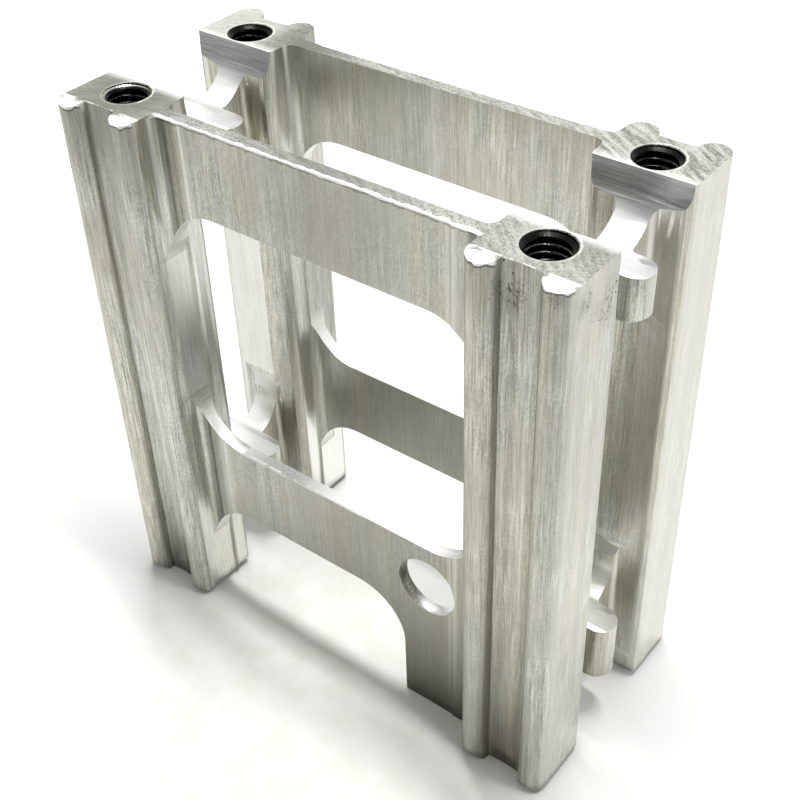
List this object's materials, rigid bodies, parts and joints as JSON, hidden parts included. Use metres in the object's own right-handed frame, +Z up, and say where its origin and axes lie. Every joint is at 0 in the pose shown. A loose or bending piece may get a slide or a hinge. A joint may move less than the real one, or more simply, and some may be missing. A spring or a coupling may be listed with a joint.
{
  "type": "machined mounting block",
  "caption": "Machined aluminium mounting block: ribbed corner posts joined by windowed plates and webs, with tapped holes in the post tops.",
  "frame": {"origin": "middle of the footprint, on the face the block stands on", "axes": "+Z up along the extrusion to the tapped post tops; +X along the long plates; -Y is the front, the plate with the round hole and the wide foot"},
  "size_m": [0.1, 0.048, 0.1085],
  "materials": {
    "aluminium": "extruded outer faces with lengthwise die lines, milled cuts and sawn ends, scratched and spotted with dirt"
  },
  "bodies": {
    "root": {"mounting_block": "aluminium"}
  },
  "joints": []
}
